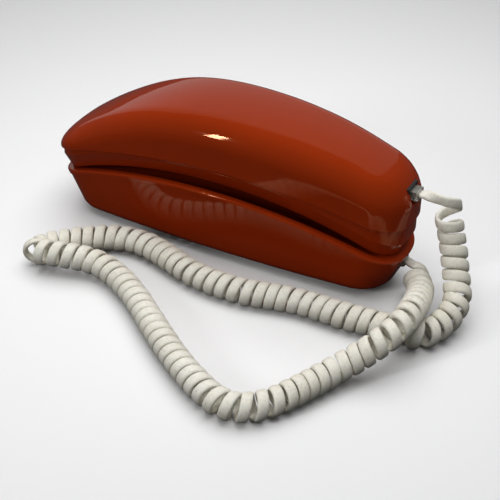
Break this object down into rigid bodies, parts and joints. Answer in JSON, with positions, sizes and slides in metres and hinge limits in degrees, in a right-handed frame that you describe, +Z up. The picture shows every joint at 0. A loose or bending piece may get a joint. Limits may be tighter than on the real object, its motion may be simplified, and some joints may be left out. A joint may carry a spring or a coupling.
{
  "type": "desk telephone",
  "caption": "Slim corded desk telephone: an arched handset with a keypad in its inner face lies on a narrow tapered base with hook switch, bell and curly cord.",
  "frame": {"origin": "on the table under the middle of the base", "axes": "+X along the telephone to the cord end, +Y away from the side where the cord lies, +Z up"},
  "size_m": [0.2531, 0.1701, 0.0876],
  "materials": {
    "shell": "glossy moulded burnt orange",
    "trim": "satin dark brown",
    "key": "ivory",
    "rubber": "matt",
    "board": "lacquered laminate",
    "black_plastic": "satin",
    "capsule": "spun",
    "steel": "zinc plated",
    "gong": "polished",
    "winding": "taped coil",
    "plug": "clear",
    "cord": "ivory, slightly soiled"
  },
  "bodies": {
    "base": {"base_housing": "shell", "base_plate": "trim", "base_feet": "rubber", "network_board": "board", "base_handset_jack": "black_plastic", "line_jack": "black_plastic", "switch_body": "black_plastic", "network_capacitors": "black_plastic", "base_screws": "steel", "plunger_spring": "steel", "gong_post": "steel", "gong_screw": "steel", "ringer_frame": "steel", "wheel_clip": "steel", "network_transformer": "steel", "ringer_gong": "gong", "ringer_coil": "winding", "cord_plug_base": "plug", "handset_cord": "cord"},
    "handset": {"handset_back_housing": "shell", "handset_face_housing": "shell", "keypad_frame": "trim", "keypad_mat": "rubber", "keypad_board": "board", "receiver_capsule": "capsule", "receiver_ring": "black_plastic", "transmitter_capsule": "capsule", "transmitter_ring": "black_plastic", "handset_jack": "black_plastic", "handset_screws": "steel", "cord_plug_handset": "plug"},
    "key_1": {"key_1": "key"},
    "key_2": {"key_2": "key"},
    "key_3": {"key_3": "key"},
    "key_4": {"key_4": "key"},
    "key_5": {"key_5": "key"},
    "key_6": {"key_6": "key"},
    "key_7": {"key_7": "key"},
    "key_8": {"key_8": "key"},
    "key_9": {"key_9": "key"},
    "key_star": {"key_star": "key"},
    "key_0": {"key_0": "key"},
    "key_hash": {"key_hash": "key"},
    "recall_button": {"recall_button": "key"},
    "switch_plunger": {"switch_plunger": "trim"},
    "clapper_body": {"clapper": "steel"},
    "volume_wheel": {"volume_wheel": "trim"}
  },
  "joints": [
    {"name": "handset_lift", "type": "slide", "parent": "base", "child": "handset", "axis": [0, 0, 1], "range_m": [0, 0.11]},
    {"name": "hook_switch", "type": "slide", "parent": "base", "child": "switch_plunger", "axis": [0, 0, 1], "range_m": [0, 0.004], "deforming": ["plunger_spring"]},
    {"name": "clapper_swing", "type": "hinge", "parent": "base", "child": "clapper_body", "pos_m": [-0.032, -0.012, 0.0083], "axis": [0, 0, 1], "range_deg": [-3, 2]},
    {"name": "loudness_turn", "type": "hinge", "parent": "base", "child": "volume_wheel", "pos_m": [0.002, 0.0174, 0.012], "axis": [0, 0, 1], "range_deg": [0, 270]},
    {"name": "key_1_press", "type": "slide", "parent": "handset", "child": "key_1", "axis": [0, 0, 1], "range_m": [0, 0.0018], "stiffness_N_per_m": 150, "springref_m": -0.001},
    {"name": "key_2_press", "type": "slide", "parent": "handset", "child": "key_2", "axis": [0, 0, 1], "range_m": [0, 0.0018], "stiffness_N_per_m": 150, "springref_m": -0.001},
    {"name": "key_3_press", "type": "slide", "parent": "handset", "child": "key_3", "axis": [0, 0, 1], "range_m": [0, 0.0018], "stiffness_N_per_m": 150, "springref_m": -0.001},
    {"name": "key_4_press", "type": "slide", "parent": "handset", "child": "key_4", "axis": [0, 0, 1], "range_m": [0, 0.0018], "stiffness_N_per_m": 150, "springref_m": -0.001},
    {"name": "key_5_press", "type": "slide", "parent": "handset", "child": "key_5", "axis": [0, 0, 1], "range_m": [0, 0.0018], "stiffness_N_per_m": 150, "springref_m": -0.001},
    {"name": "key_6_press", "type": "slide", "parent": "handset", "child": "key_6", "axis": [0, 0, 1], "range_m": [0, 0.0018], "stiffness_N_per_m": 150, "springref_m": -0.001},
    {"name": "key_7_press", "type": "slide", "parent": "handset", "child": "key_7", "axis": [0, 0, 1], "range_m": [0, 0.0018], "stiffness_N_per_m": 150, "springref_m": -0.001},
    {"name": "key_8_press", "type": "slide", "parent": "handset", "child": "key_8", "axis": [0, 0, 1], "range_m": [0, 0.0018], "stiffness_N_per_m": 150, "springref_m": -0.001},
    {"name": "key_9_press", "type": "slide", "parent": "handset", "child": "key_9", "axis": [0, 0, 1], "range_m": [0, 0.0018], "stiffness_N_per_m": 150, "springref_m": -0.001},
    {"name": "key_star_press", "type": "slide", "parent": "handset", "child": "key_star", "axis": [0, 0, 1], "range_m": [0, 0.0018], "stiffness_N_per_m": 150, "springref_m": -0.001},
    {"name": "key_0_press", "type": "slide", "parent": "handset", "child": "key_0", "axis": [0, 0, 1], "range_m": [0, 0.0018], "stiffness_N_per_m": 150, "springref_m": -0.001},
    {"name": "key_hash_press", "type": "slide", "parent": "handset", "child": "key_hash", "axis": [0, 0, 1], "range_m": [0, 0.0018], "stiffness_N_per_m": 150, "springref_m": -0.001},
    {"name": "recall_button_press", "type": "slide", "parent": "handset", "child": "recall_button", "axis": [0, 0, 1], "range_m": [0, 0.0018], "stiffness_N_per_m": 150, "springref_m": -0.001}
  ],
  "couplings": [
    {"joint": "hook_switch", "follows": "handset_lift", "ratio": 0.036364}
  ]
}
